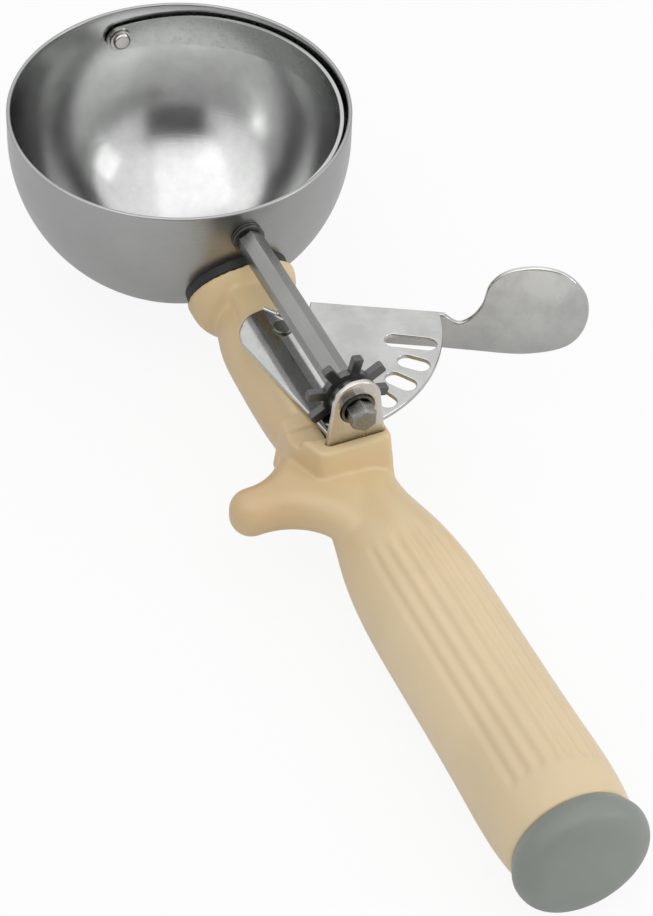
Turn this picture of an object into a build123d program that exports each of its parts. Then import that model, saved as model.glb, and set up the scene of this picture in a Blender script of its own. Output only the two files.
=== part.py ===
"""Thumb-lever ice cream scoop: hemispherical bowl, swinging scraper, geared thumb lever, one-piece handle.

Millimetres. The origin is the centre of the bowl's rim plane. +X runs back along the handle,
+Z points out of the bowl's mouth, and the thumb lever rests on the +Y side.
"""
from build123d import *
from math import acos, cos, degrees, radians, sin, sqrt
import os

# ---- bowl ----
bowl_radius = 33.3            # outside, a 2 5/8 inch bowl
bowl_wall = 0.8
rim_rounding = 0.3
axis_depth = 6.0              # scraper axis below the rim

# ---- clearances ----
running_gap = 0.05            # radial, shaft in bearing
slip_gap = 0.15               # a fixed piece in its pocket
swing_gap = 0.4               # a moving piece past a fixed one

# ---- scraper shaft and pinion ----
hex_across = 4.6
journal_radius = 1.6
tenon_radius = 1.2
tail_length = 3.6
pinion_thickness = 1.5
pinion_teeth = 8
pinion_tip_radius = 8.1
pinion_root_radius = 5.0
pinion_tooth_width = 2.0
pinion_lead = -13.5           # degrees that the meshing tooth stands off straight down
collar_radius = 3.1
collar_length = 0.65
spacer_radius = 4.0

# ---- scraper blade ----
blade_gap = 0.5               # blade to the bowl's inside
blade_thickness = 0.7
blade_width = 7.0
blade_end_width = 5.4
blade_taper_run = 16.0        # from the axis to where the blade has its full width
blade_rest_angle = 1.75       # above the axis, on the lever's side
hub_radius = 3.0
hub_length = 1.8
pivot_rivet_radius = 1.2
rivet_head_radius = 1.75
rivet_head_height = 0.7
washer_thickness = 0.4

# ---- thumb lever ----
sheet = 1.0
lever_top = -13.3             # upper face of the slotted sector
pivot_behind = 18.85          # pivot behind the bowl's outside
pivot_y = -0.6
sector_radius = 29.7
slot_count = 6
slot_first = -3.3             # degrees from +X to the slot in mesh at rest
slot_pitch = 12.4
slot_width = 3.36
slot_rim = 0.95               # metal left outside the slots
slot_length = 6.15
long_slot_length = 9.75
back_edge_angle = 61.4        # direction of the folded edge
back_edge_offset = 7.9        # folded edge from the pivot
side_edge = (0.8, -8.5)       # where the long side edge starts, from the pivot
side_end_angle = -7.0         # and where it meets the outer arc
nose_left = ((-2.4, -7.7), (-5.4, -4.8))
nose_right = (-1.4, 5.2)
nose_angle = 35.2             # direction of the short front edge beside the pivot
nose_offset = 2.5             # that edge from the pivot
nose_length = 6.5
flange_depth = 8.8
flange_start = 16.0           # along the folded edge, from the pivot's foot on it
flange_lead = 3.0             # slant of its front end
flange_rise = 0.5             # its lower edge runs up by this much towards the pivot
pad_inset = 0.3               # pad starts this far inside the sector's outer corner
pad_outline = ((0, 0), (2.9, -1.8), (5.2, -0.3), (7.0, 2.9), (8.3, 8.2), (11.4, 11.6), (17.2, 13.1), (22.3, 11.8),
               (26.2, 7.0), (26.7, 0.4), (23.9, -5.2), (16.6, -8.2), (5.2, -8.4), (0, -8.3))
shaft_sweep = 180.0           # degrees for the lever's full travel

# ---- lever pivot ----
post_radius = 1.4
post_head_radius = 1.9
post_head_height = 0.5
post_foot_radius = 2.8
post_foot_height = 1.0
sleeve_radius = 3.0
spring_wire = 0.9
spring_turns = 3
spring_play = 0.9             # coil inside radius over the sleeve
spring_leg = 2.8
pivot_washer_radius = 3.3

# ---- bracket ----
bracket_sheet = 1.2
strap_half_width = 4.0
ear_half_width = 5.6
ear_radius = 4.6              # of its round top
ear_height = 6.1              # above the shaft
ear_gap = 1.05                # in front of the ear, outside the sector
pinion_gap = 2.7              # between the pinion and the ear
bush_radius = 3.2
bush_wall = 0.9               # of the bushing in the bowl
strap_lead = 6.15             # strap in front of the pivot
screws_before_ear = (19.9, 9.4)
screw_radius = 1.5
screw_head_radius = 2.8
screw_head_height = 1.7

# ---- handle; lengths along X are from the bowl's outside ----
boss_radius = 10.7
boss_z = -21.0
boss_back = 3.7
boss_nose = 5.4               # length of the boss's rounded back
boss_step = 5.2               # and its depth
shank_z = -24.0
shank_radii = ((-5.3, 7.4), (4.7, 7.8), (8.7, 8.8), (14.7, 9.3), (32.7, 9.35), (42.7, 8.4), (50.7, 7.2))
shank_waist_left = 4.8        # half widths of the flat top: at the boss, and along the lever
shank_waist_length = 7.0
shank_left = 7.4
shank_right = 5.6
shank_edge = 1.2              # rounding of the flat top
shank_top_gap = 0.35          # under the sector
grip_z = -26.6
grip_length = 139.5
grip_front_radii = ((50.7, 7.8), (58.7, 8.1), (66.7, 9.8), (76.7, 11.2), (91.7, 11.7))
grip_back_radii = ((17.8, 12.05), (4.8, 12.0), (0, 11.4))    # measured before the grip's end
flute_count = 7
flute_pitch = 13.2            # degrees
flute_radius = 1.5
flute_front_bottoms = ((70.7, 10.6), (78.7, 10.87), (91.7, 11.25))
flute_back_bottoms = ((17.8, 11.6), (10.8, 11.6), (7.0, 12.1))    # before the grip's end
block_plan = ((39.7, -10.2), (45.6, -10.4), (52.9, -7.6), (52.9, 6.3), (39.7, 6.3))
block_top = -13.0
block_flare = 5.0             # degrees, sides lean outwards going down
block_corner = 1.4
block_edge = 0.7
block_gap = 0.5               # wall round the sector
ledge_end = 43.2              # the floor under the sector steps down here
ledge_drop = 0.7
rest_front = ((35.7, -7.6), (42.2, -11.3), (46.6, -15.8), (47.9, -20.7))
rest_tip = (51.95, -24.9)
rest_back = ((56.0, -20.7), (56.3, -16.3), (58.5, -11.9), (65.2, -8.3))
rest_root = -2.0              # the finger rest starts inside the shank, here
rest_top = -18.7
rest_bottom = -27.5
rest_rounding = 3.7
boss_recess = 8.4             # round the pivot, clear of the lever's front
seal_thickness = 2.0
seal_width = 2.2
seal_inset = 0.5              # under the boss's edge
bore_radius = 7.0             # rear bore that the cap closes
bore_depth = 20.8

# ---- tang ----
tang_width = 9.0
tang_thickness = 3.0
tang_z = -24.6
bar_lead = 8.3                # bar starts this far inside the bowl's radius
bar_to_bore = 4.0
tang_root = 6.0               # round part at the stud
flange_gap = 0.6              # inside the seal
flange_sheet = 1.25
stud_radius = 2.5
stud_in_bore = 8.0
nut_across = 8.0
nut_height = 4.0
nut_washer_radius = 5.6
nut_washer_height = 1.0

# ---- end cap ----
cap_profile = ((0, 11.3), (2.6, 12.35), (5.2, 11.7), (6.7, 9.3), (7.1, 5.0))
cap_skirt = 7.0
cap_wall = 1.6

# ---- worked out from the above ----
axis_z = -axis_depth
bowl_inside = bowl_radius - bowl_wall
blade_radius = bowl_inside - blade_gap
mesh_ratio = 360 / pinion_teeth / slot_pitch
lever_travel = shaft_sweep / mesh_ratio
pivot_x = bowl_radius + pivot_behind
ear_front = pivot_x + sector_radius + ear_gap
strap_front = pivot_x - strap_lead
screw_places = [ear_front - before for before in screws_before_ear]
slot_outer = sector_radius - slot_rim
pad_start = sector_radius - pad_inset
block_arc = sector_radius + block_gap
grip_end = bowl_radius + grip_length
bore_start = grip_end - bore_depth
bar_start = bowl_radius - bar_lead
bar_end = bore_start - bar_to_bore
stud_end = bore_start + stud_in_bore
seal_outer_radius = boss_radius - seal_inset
seal_inner_radius = seal_outer_radius - seal_width
hex_corner = hex_across / sqrt(3)
bush_outer_radius = journal_radius + running_gap + bush_wall
pinion_back = ear_front - pinion_gap
pinion_front = pinion_back - pinion_thickness
pinion_x = (pinion_front + pinion_back) / 2
lever_bottom = lever_top - sheet
pad_foot_z = lever_top - flange_depth
shank_top = lever_bottom - shank_top_gap
coil_pitch = spring_wire * 1.06
coil_height = spring_turns * coil_pitch + spring_wire + 0.3
strap_top = lever_bottom - washer_thickness - coil_height
strap_bottom = strap_top - bracket_sheet
ear_back = ear_front + bracket_sheet
bush_bore = hex_corner + running_gap
tail_end = ear_back + tail_length
collar_front = bowl_radius + 0.75
collar_back = collar_front + collar_length
coil_radius = sleeve_radius + spring_play + spring_wire / 2
spring_angle = nose_angle + 90 + degrees(acos((nose_offset + spring_wire / 2 + 0.05) / coil_radius))
shaft_line = Axis((0, 0, axis_z), (1, 0, 0))
boss_direction = Vector(cos(radians(27)), 0, -sin(radians(27)))
bowl_centre = Vector(0, 0, axis_z)
seal_inside = bowl_radius + running_gap
seal_outside = seal_inside + seal_thickness


def rod(radius, start, end, y=0.0, z=axis_z):
    """A cylinder along X from start to end."""
    return Plane((start, y, z), z_dir=(1, 0, 0)) * extrude(Circle(radius), end - start)


def post(radius, low, high, x=pivot_x, y=pivot_y):
    """An upright cylinder from low to high."""
    return Plane((x, y, low)) * extrude(Circle(radius), high - low)


def hex_rod(across, start, end):
    """A hexagonal bar along the shaft axis, a corner upwards."""
    section = Rot(0, 0, 30) * RegularPolygon(across / 2, 6, major_radius=False)
    return Plane((start, 0, axis_z), x_dir=(0, 1, 0), z_dir=(1, 0, 0)) * extrude(section, end - start)


def turned(points, z, smooth=False):
    """A solid of revolution about the line parallel to X at height z, from (x, radius) points."""
    first, last = points[0], points[-1]
    outline = Spline(*points) if smooth else Polyline(*points)
    ends = Polyline(last, (last[0], 0), (first[0], 0), first)
    face = Plane((0, 0, z), x_dir=(1, 0, 0), z_dir=(0, -1, 0)) * make_face(outline + ends)
    return revolve(face, Axis((0, 0, z), (1, 0, 0)), 360)


def ball(radius):
    return Pos(*bowl_centre) * Sphere(radius)


def dished_ring(inside, outside, inner, outer):
    """Part of a spherical shell about the bowl's centre, from inner to outer off the boss direction."""
    def on_ball(radius, off):
        return (sqrt(radius ** 2 - off ** 2), off)

    middle = (inner + outer) / 2
    lines = Polyline(on_ball(inside, inner), on_ball(outside, inner))
    lines += ThreePointArc(on_ball(outside, inner), on_ball(outside, middle), on_ball(outside, outer))
    lines += Polyline(on_ball(outside, outer), on_ball(inside, outer))
    lines += ThreePointArc(on_ball(inside, outer), on_ball(inside, middle), on_ball(inside, inner))
    plane = Plane(bowl_centre, x_dir=boss_direction, z_dir=(0, 1, 0))
    return revolve(plane * make_face(lines), Axis(bowl_centre, boss_direction), 360)


def sector_point(radius, angle):
    return (pivot_x + radius * cos(radians(angle)), pivot_y + radius * sin(radians(angle)))


def from_pivot(offset):
    return (pivot_x + offset[0], pivot_y + offset[1])


def from_bowl(points):
    return [(bowl_radius + behind, other) for behind, other in points]


def from_grip_end(points):
    return [(grip_end - before, other) for before, other in points]


# ---------------------------------------------------------------- bowl and what is fixed to it
def cup(radius, top):
    """A half ball with a straight wall above it, up to top."""
    below = Box(3 * radius, 3 * radius, 2 * radius, align=(Align.CENTER, Align.CENTER, Align.MAX))
    half = ball(radius) & Pos(*bowl_centre) * below
    return half + Plane(bowl_centre) * extrude(Circle(radius), top - axis_z)


def bowl():
    shell = cup(bowl_radius, 0) - cup(bowl_inside, 1)
    shell = fillet(shell.edges().group_by(Axis.Z)[-1], rim_rounding)
    shell -= rod(bush_outer_radius + slip_gap / 3, bowl_inside - 2, bowl_radius + 2)
    shell -= rod(pivot_rivet_radius + running_gap, -bowl_radius - 2, -bowl_inside + 2)
    return shell


def bowl_bushing():
    """Flanged bearing sleeve in the bowl's wall."""
    sleeve = rod(bush_outer_radius, bowl_inside - 0.2, collar_front - 0.2)
    flange = rod(collar_radius, bowl_radius + 0.1, collar_front - 0.2)
    return sleeve + flange - rod(journal_radius + running_gap, 0, collar_front + 1)


def tang():
    """Core bar of the handle: a dished flange that seats on the bowl, a flat bar and a threaded end."""
    dish = dished_ring(seal_inside, seal_inside + flange_sheet, 0, seal_inner_radius - flange_gap)
    bar = Pos((bar_start + bar_end) / 2, 0, tang_z) * Box(bar_end - bar_start, tang_width, tang_thickness)
    bar -= ball(seal_inside + flange_sheet / 2)
    stud = rod(stud_radius, bar_end - 1, stud_end, z=grip_z)
    root = rod(tang_width / 2, bar_end - tang_root, bar_end, z=grip_z)
    whole = dish + bar + root + stud
    for x in screw_places:
        whole -= post(screw_radius + running_gap, tang_z - tang_thickness, tang_z + tang_thickness, x=x, y=0)
    return whole


def bowl_seal():
    """Dark gasket ring between the bowl's outside and the handle's boss."""
    return dished_ring(seal_inside, seal_outside, seal_inner_radius, seal_outer_radius)


# ---------------------------------------------------------------- handle
def flute(angle):
    """Groove cutter that follows the grip's swell and runs out at both ends, angle from +Y towards +Z."""
    bottoms = from_bowl(flute_front_bottoms) + from_grip_end(flute_back_bottoms)
    run = Spline(*[(x, bottom + flute_radius) for x, bottom in bottoms])
    path = Plane((0, 0, grip_z), x_dir=(1, 0, 0), z_dir=(0, -1, 0)) * run
    groove = sweep(Plane(path @ 0, z_dir=path % 0) * Circle(flute_radius), path=path)
    return groove.rotate(Axis((0, 0, grip_z), (1, 0, 0)), angle - 90)


def grip_body():
    body = turned(from_bowl(grip_front_radii) + from_grip_end(grip_back_radii), grip_z, smooth=True)
    for i in range(flute_count):
        body -= flute(90 + flute_pitch * (i - (flute_count - 1) / 2))
    return body


def boss_body():
    start, end = bowl_radius / 2, bowl_radius + boss_back
    straight_end = end - boss_nose
    back_radius = boss_radius - boss_step
    middle = (straight_end + boss_nose * 0.72, boss_radius - boss_step * 0.31)
    lines = Polyline((start, 0), (start, boss_radius), (straight_end, boss_radius))
    lines += ThreePointArc((straight_end, boss_radius), middle, (end, back_radius))
    lines += Polyline((end, back_radius), (end, 0), (start, 0))
    face = Plane((0, 0, boss_z), x_dir=(1, 0, 0), z_dir=(0, -1, 0)) * make_face(lines)
    return revolve(face, Axis((0, 0, boss_z), (1, 0, 0)), 360)


def shank_body():
    """Bar between the boss and the block: round below, flat on top, waisted behind the boss."""
    radii = from_bowl(shank_radii)
    front, end = bowl_radius + boss_back - 4, radii[-1][0]
    body = turned(radii, shank_z, smooth=True)
    body -= Pos(0, 0, shank_top) * Box(2 * end, end, end, align=(Align.CENTER, Align.CENTER, Align.MIN))
    plan = Polyline((front, -shank_waist_left), (front + shank_waist_length, -shank_waist_left),
                    (pivot_x - 2, -shank_left), (end, -shank_left), (end, shank_right), (front, shank_right),
                    close=True)
    flat = Pos(0, 0, shank_z) * extrude(make_face(plan), shank_top - shank_z)
    long_edges = [e for e in flat.edges().group_by(Axis.Z)[-1] if e.length > 2 * shank_edge]
    return body + fillet(long_edges, shank_edge)


def block_body():
    """Raised block that carries the ear, its sides flaring slightly downwards."""
    plan = make_face(Polyline(*from_bowl(block_plan), close=True))
    body = extrude(Pos(0, 0, block_top) * plan, grip_z - block_top, taper=-block_flare)
    upright = [e for e in body.edges() if abs(e.center().Z - (block_top + grip_z) / 2) < 1]
    body = fillet(upright, block_corner)
    return fillet(body.faces().sort_by(Axis.Z)[-1].edges(), block_edge)


def finger_rest():
    """Rounded prong for the index finger, out of the handle's -Y side."""
    front, back = from_bowl(rest_front), from_bowl(rest_back)
    tip = from_bowl([rest_tip])[0]
    lines = Spline(*front) + ThreePointArc(front[-1], tip, back[0]) + Spline(*back)
    lines += Polyline(back[-1], (back[-1][0], rest_root), (front[0][0], rest_root), front[0])
    body = Pos(0, 0, rest_bottom) * extrude(make_face(lines), rest_top - rest_bottom)
    levels = body.edges().group_by(Axis.Z)
    outline = [e for e in levels[-1] + levels[0] if e.center().Y < rest_front[0][1] + 0.6]
    return fillet(outline, rest_rounding)


def lever_sweep():
    """Space that the lever passes through, taken out of the handle."""
    reach = 3 * sector_radius
    above = block_top + block_gap
    front, back = pivot_x - reach / 9, pivot_x + reach
    wedge = Polyline((pivot_x - 2, pivot_y), (front, pivot_y - reach), (back, pivot_y - reach),
                     (back, pivot_y + reach), (front, pivot_y + reach), close=True)
    room = post(block_arc, shank_top, above) & Pos(0, 0, shank_top) * extrude(make_face(wedge), above - shank_top)
    room += post(boss_recess, shank_top, above)
    past_ledge = Pos(bowl_radius + ledge_end, 0, shank_top) * Box(
        reach, reach, reach, align=(Align.MIN, Align.CENTER, Align.CENTER))
    room += post(block_arc, shank_top - ledge_drop, above) & past_ledge
    end_angle = radians(back_edge_angle - lever_travel)
    along = Vector(cos(end_angle), sin(end_angle), 0)
    across = Vector(-sin(end_angle), cos(end_angle), 0)
    inner = Vector(pivot_x, pivot_y, 0) + across * (back_edge_offset - sheet - swing_gap)
    start = inner + along * (flange_start - flange_lead)
    wall = Plane((start.X, start.Y, pad_foot_z - 2 * swing_gap), x_dir=along, z_dir=(0, 0, 1))
    return room + wall * Box(reach, reach, reach, align=(Align.MIN, Align.MIN, Align.MIN))


def handle():
    body = boss_body() + shank_body() + block_body() + grip_body() + finger_rest()
    body -= ball(seal_outside + running_gap)
    body -= lever_sweep()
    gap = slip_gap
    upwards = (Align.MIN, Align.CENTER, Align.MIN)
    flat_start = bar_start - seal_thickness
    flat = Box(bar_end - flat_start, tang_width + 2 * gap, tang_thickness + 2 * gap, align=upwards)
    body -= Pos(flat_start, 0, tang_z - tang_thickness / 2 - gap) * flat
    body -= rod(tang_width / 2 + gap, bar_end - tang_root - gap, bore_start, z=grip_z)
    body -= rod(bore_radius, bore_start, grip_end + 1, z=grip_z)
    tall = block_top - strap_bottom + 2 * gap
    channel = Box(ear_back - strap_front + 2 * gap, 2 * (strap_half_width + gap), tall, align=upwards)
    body -= Pos(strap_front - gap, 0, strap_bottom - gap) * channel
    ear_room = Box(bracket_sheet + 2 * gap, 2 * (ear_half_width + gap), tall, align=upwards)
    body -= Pos(ear_front - gap, 0, strap_bottom - gap) * ear_room
    body -= post(coil_radius + spring_wire, strap_top, shank_top + 1)
    body -= post(post_foot_radius + gap, strap_bottom - post_foot_height - 2 * gap, strap_top)
    for x in screw_places:
        body -= post(screw_radius + gap, tang_z, strap_top, x=x, y=0)
    return body


def end_cap():
    """Domed plug that closes the grip, with a skirt in the bore."""
    start = grip_end + running_gap
    dome = turned([(start + along, radius) for along, radius in cap_profile], grip_z, smooth=True)
    skirt = rod(bore_radius - running_gap, start - cap_skirt, start + 0.5, z=grip_z)
    skirt -= rod(bore_radius - running_gap - cap_wall, start - cap_skirt - 1, start, z=grip_z)
    return dome + skirt


def handle_washer():
    start = bore_start + running_gap
    ring = rod(nut_washer_radius, start, start + nut_washer_height, z=grip_z)
    return ring - rod(stud_radius + slip_gap, bore_start - 1, stud_end, z=grip_z)


def handle_nut():
    start = bore_start + 2 * running_gap + nut_washer_height
    section = RegularPolygon(nut_across / 2, 6, major_radius=False)
    nut = Plane((start, 0, grip_z), z_dir=(1, 0, 0)) * extrude(section, nut_height)
    return nut - rod(stud_radius + running_gap, start - 1, start + nut_height + 1, z=grip_z)


# ---------------------------------------------------------------- bracket and lever pivot
def bracket():
    """Sheet strap let into the handle, turned up at the back into the ear that carries the shaft."""
    strap = Pos((strap_front + ear_back) / 2, 0, strap_bottom) * Box(
        ear_back - strap_front, 2 * strap_half_width, bracket_sheet, align=(Align.CENTER, Align.CENTER, Align.MIN))
    shoulder = axis_z + ear_height - ear_radius
    left, right = (-ear_radius, shoulder), (ear_radius, shoulder)
    left_knee, right_knee = (-ear_half_width, block_top), (ear_half_width, block_top)
    left_foot, right_foot = (-ear_half_width, strap_bottom), (ear_half_width, strap_bottom)
    lines = ThreePointArc(left, (0, axis_z + ear_height), right)
    lines += Polyline(right, right_knee, right_foot, left_foot, left_knee, left)
    face = Plane((ear_front, 0, 0), x_dir=(0, 1, 0), z_dir=(1, 0, 0)) * make_face(lines)
    whole = strap + extrude(face, bracket_sheet)
    whole -= rod(bush_radius + slip_gap / 3, ear_front - 1, ear_back + 1)
    whole -= post(post_radius + running_gap, strap_bottom - 1, strap_top + 1)
    for x in screw_places:
        whole -= post(screw_radius + slip_gap, strap_bottom - 1, strap_top + 1, x=x, y=0)
    hook = sector_point(coil_radius, spring_angle)
    whole -= post(spring_wire / 2 + slip_gap, strap_bottom - 1, strap_top + 1, x=hook[0], y=hook[1])
    return whole


def bracket_screws():
    """Two pan-head screws through the strap into the tang."""
    screws = []
    for x in screw_places:
        head = post(screw_head_radius, strap_top + running_gap, strap_top + running_gap + screw_head_height, x=x, y=0)
        head = fillet(head.edges().sort_by(Axis.Z)[-1], 0.8)
        shank = post(screw_radius, tang_z - tang_thickness / 2, strap_top + running_gap + 0.5, x=x, y=0)
        slot = Pos(x, 0, strap_top + running_gap + screw_head_height) * Box(2 * screw_head_radius + 1, 0.8, 1.2)
        screws.append(head + shank - slot)
    return Compound(screws)


def rear_bushing():
    ring = rod(bush_radius, ear_front - 0.3, ear_back + 0.3)
    return ring - rod(bush_bore, ear_front - 1, ear_back + 1)


def pivot_post():
    """Rivet that the lever turns on, headed above the lever and below the strap."""
    top = lever_top + running_gap
    head = post(post_head_radius, top, top + post_head_height)
    head = fillet(head.edges().sort_by(Axis.Z)[-1], post_head_height * 0.8)
    foot = post(post_foot_radius, strap_bottom - running_gap - post_foot_height, strap_bottom - running_gap)
    return head + foot + post(post_radius, strap_bottom - post_foot_height, top + post_head_height / 2)


def pivot_spacer():
    """Sleeve round the post that keeps the lever off the strap, inside the spring."""
    low, high = strap_top + running_gap, lever_bottom - washer_thickness - running_gap
    return post(sleeve_radius, low, high) - post(post_radius + running_gap, low - 1, high + 1)


def pivot_washer():
    low, high = lever_bottom - washer_thickness - running_gap / 2, lever_bottom - running_gap
    return post(pivot_washer_radius, low, high) - post(post_radius + running_gap, low - 1, high + 1)


def return_spring():
    """Torsion spring round the spacer: one leg down into the strap, the other bears on the lever's nose."""
    low = strap_top + spring_wire / 2 + 0.15
    leg_z = lever_top - spring_wire / 3
    end_x, end_y = sector_point(coil_radius, spring_angle)
    coil = Pos(pivot_x, pivot_y, low) * Rot(0, 0, spring_angle) * Helix(
        coil_pitch, coil_pitch * spring_turns, coil_radius)
    section = Plane(coil @ 0, z_dir=coil % 0) * Circle(spring_wire / 2)
    wire = sweep(section, path=coil, is_frenet=True)
    thin = spring_wire / 2 - 0.02
    wire += post(thin, strap_bottom, low, x=end_x, y=end_y)
    wire += post(thin, low + coil_pitch * spring_turns, leg_z, x=end_x, y=end_y)
    knee = Pos(end_x, end_y, leg_z)
    wire += knee * Sphere(thin + 0.01)
    back = Vector(-cos(radians(nose_angle)), -sin(radians(nose_angle)), 0)
    return wire + Plane((end_x, end_y, leg_z), z_dir=back) * extrude(Circle(thin), spring_leg)


# ---------------------------------------------------------------- lever
def slotted_hole(length, angle):
    """A rounded radial slot through the sector."""
    place = Pos(*sector_point(slot_outer - length / 2, angle), lever_bottom - 1) * Rot(0, 0, angle)
    return place * extrude(SlotOverall(length, slot_width), sheet + 2)


def sector_plate():
    """Flat slotted sector: folded back edge, outer arc, side edge and a nose cut back beside the pivot."""
    along = Vector(cos(radians(back_edge_angle)), sin(radians(back_edge_angle)), 0)
    across = Vector(-along.Y, along.X, 0)
    centre = Vector(pivot_x, pivot_y, 0)
    edge_start = centre + across * back_edge_offset + along * 4.5
    corner = centre + across * back_edge_offset + along * sqrt(sector_radius ** 2 - back_edge_offset ** 2)
    side_end = sector_point(sector_radius, side_end_angle)
    arc_middle = sector_point(sector_radius, (back_edge_angle + side_end_angle) / 2)
    nose_way = Vector(cos(radians(nose_angle)), sin(radians(nose_angle)), 0)
    nose_end = centre + Vector(-nose_way.Y, nose_way.X, 0) * nose_offset + nose_way * 0.5
    nose_tip = nose_end - nose_way * nose_length
    lines = Polyline((edge_start.X, edge_start.Y), (corner.X, corner.Y))
    lines += ThreePointArc((corner.X, corner.Y), arc_middle, side_end)
    side_start = from_pivot(side_edge)
    lines += Polyline(side_end, side_start)
    lines += Spline(side_start, *[from_pivot(p) for p in nose_left], (nose_tip.X, nose_tip.Y))
    lines += Polyline((nose_tip.X, nose_tip.Y), (nose_end.X, nose_end.Y))
    lines += Spline((nose_end.X, nose_end.Y), from_pivot(nose_right), (edge_start.X, edge_start.Y))
    return Pos(0, 0, lever_bottom) * extrude(make_face(lines), sheet)


def upright_sheet(outline):
    """Sheet metal standing in the plane of the folded edge, from (distance along, height) points."""
    along = Vector(cos(radians(back_edge_angle)), sin(radians(back_edge_angle)), 0)
    across = Vector(-along.Y, along.X, 0)
    origin = Vector(pivot_x, pivot_y, 0) + across * back_edge_offset
    return Plane(origin, x_dir=along, z_dir=across * -1) * extrude(make_face(outline), sheet)


def flange_and_pad():
    """Folded flange under the back edge, running out into the rounded thumb pad."""
    pad = [(pad_start + along, lever_top + up) for along, up in pad_outline]
    foot = pad_foot_z + flange_rise
    lines = Spline(*pad)
    lines += Polyline(pad[-1], (flange_start + flange_lead, foot), (flange_start, foot + flange_lead),
                      (flange_start, lever_top), pad[0])
    return upright_sheet(lines)


def lever():
    body = sector_plate() + flange_and_pad()
    for i in range(slot_count):
        length = long_slot_length if i == slot_count - 1 else slot_length
        body -= slotted_hole(length, slot_first + i * slot_pitch)
    return body - post(post_radius + running_gap, lever_bottom - 1, lever_top + 1)


# ---------------------------------------------------------------- shaft, pinion and scraper
def shaft():
    front = bowl_inside - blade_gap - blade_thickness - hub_length
    body = rod(tenon_radius, front - 0.3, blade_radius + 0.2)
    body += rod(journal_radius, blade_radius + 0.1, collar_back + 0.1)
    body += hex_rod(hex_across, collar_back, tail_end)
    return body


def front_collar():
    ring = rod(collar_radius, collar_front, collar_back - 0.05)
    return ring - rod(journal_radius + running_gap, collar_front - 1, collar_back + 1)


def pinion():
    """Toothed wheel on the hexagon, one tooth down in the lever's first slot at rest."""
    start = pinion_front
    body = rod(pinion_root_radius, start, pinion_back)
    length = pinion_tip_radius - pinion_root_radius + 1.5
    middle = pinion_tip_radius - length / 2
    for i in range(pinion_teeth):
        tooth = Box(pinion_thickness, pinion_tooth_width, length)
        tooth = fillet(tooth.edges().filter_by(Axis.X).group_by(Axis.Z)[-1], 0.45)
        angle = 180 + pinion_lead + i * 360 / pinion_teeth
        body += Pos(pinion_x, 0, axis_z) * Rot(angle, 0, 0) * Pos(0, 0, middle) * tooth
    return body - hex_rod(hex_across + 2 * running_gap, start - 1, pinion_back + 1)


def pinion_spacer():
    start, end = pinion_back + running_gap, ear_front - 0.3 - running_gap
    return rod(spacer_radius, start, end) - rod(hex_corner + running_gap, start - 1, end + 1)


def blade_sheet():
    return ball(blade_radius) - ball(blade_radius - blade_thickness)


def scraper_blade():
    """Spherical strip from pole to pole of the shaft axis, lying against the bowl's wall."""
    half, end_half = blade_width / 2, blade_end_width / 2
    profile = Polyline((0, -end_half), (blade_taper_run, -half), (bowl_radius + 4, -half), (bowl_radius + 4, half),
                       (blade_taper_run, half), (0, end_half), close=True)
    strip = Plane((-2 * bowl_radius, 0, axis_z), x_dir=(0, 1, 0), z_dir=(1, 0, 0)) * extrude(
        make_face(profile), 4 * bowl_radius)
    lugs = rod(end_half, -2 * bowl_radius, 2 * bowl_radius)
    blade = blade_sheet() & (strip + lugs)
    blade -= rod(tenon_radius + running_gap, 0, 2 * bowl_radius)
    blade -= rod(pivot_rivet_radius + running_gap, -2 * bowl_radius, 0)
    return blade.rotate(shaft_line, blade_rest_angle)


def blade_hub():
    """Round nut on the shaft's tenon that clamps the blade's near lug."""
    back = blade_radius - blade_thickness - 0.25
    hub = rod(hub_radius, back - hub_length, back)
    hub = fillet(hub.edges().filter_by(GeomType.CIRCLE).sort_by(Axis.X)[0], 0.5)
    return hub - rod(tenon_radius + running_gap, 0, bowl_radius)


def far_pivot_rivet():
    """Rivet through the far wall that the blade's far lug turns on."""
    inner = blade_radius - blade_thickness - washer_thickness - 0.25
    shank = rod(pivot_rivet_radius, -bowl_radius - 0.3, -inner + 0.2)
    inside = rod(rivet_head_radius, -inner, -inner + rivet_head_height)
    inside = fillet(inside.edges().filter_by(GeomType.CIRCLE).sort_by(Axis.X)[-1], 0.45)
    outside = rod(rivet_head_radius + 0.3, -bowl_radius - rivet_head_height, -bowl_radius - 0.08)
    outside = fillet(outside.edges().filter_by(GeomType.CIRCLE).sort_by(Axis.X)[0], 0.45)
    return inside + shank + outside


def far_pivot_washer():
    inner = blade_radius - blade_thickness - 0.2
    ring = rod(blade_end_width / 2 - 0.5, -inner, -inner + washer_thickness)
    return ring - rod(pivot_rivet_radius + running_gap, -bowl_radius, 0)


nodes = {
    "bowl": bowl,
    "bowl_bushing": bowl_bushing,
    "bowl_seal": bowl_seal,
    "tang": tang,
    "handle": handle,
    "end_cap": end_cap,
    "handle_washer": handle_washer,
    "handle_nut": handle_nut,
    "bracket": bracket,
    "bracket_screws": bracket_screws,
    "rear_bushing": rear_bushing,
    "pivot_post": pivot_post,
    "pivot_spacer": pivot_spacer,
    "pivot_washer": pivot_washer,
    "return_spring": return_spring,
    "lever": lever,
    "shaft": shaft,
    "front_collar": front_collar,
    "pinion": pinion,
    "pinion_spacer": pinion_spacer,
    "scraper_blade": scraper_blade,
    "blade_hub": blade_hub,
    "far_pivot_rivet": far_pivot_rivet,
    "far_pivot_washer": far_pivot_washer,
}

os.makedirs("parts", exist_ok=True)
for name, make in nodes.items():
    export_step(make(), f"parts/{name}.step")
print("shaft turns", round(mesh_ratio, 5), "times the lever, which moves", round(lever_travel, 2), "degrees")
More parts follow.
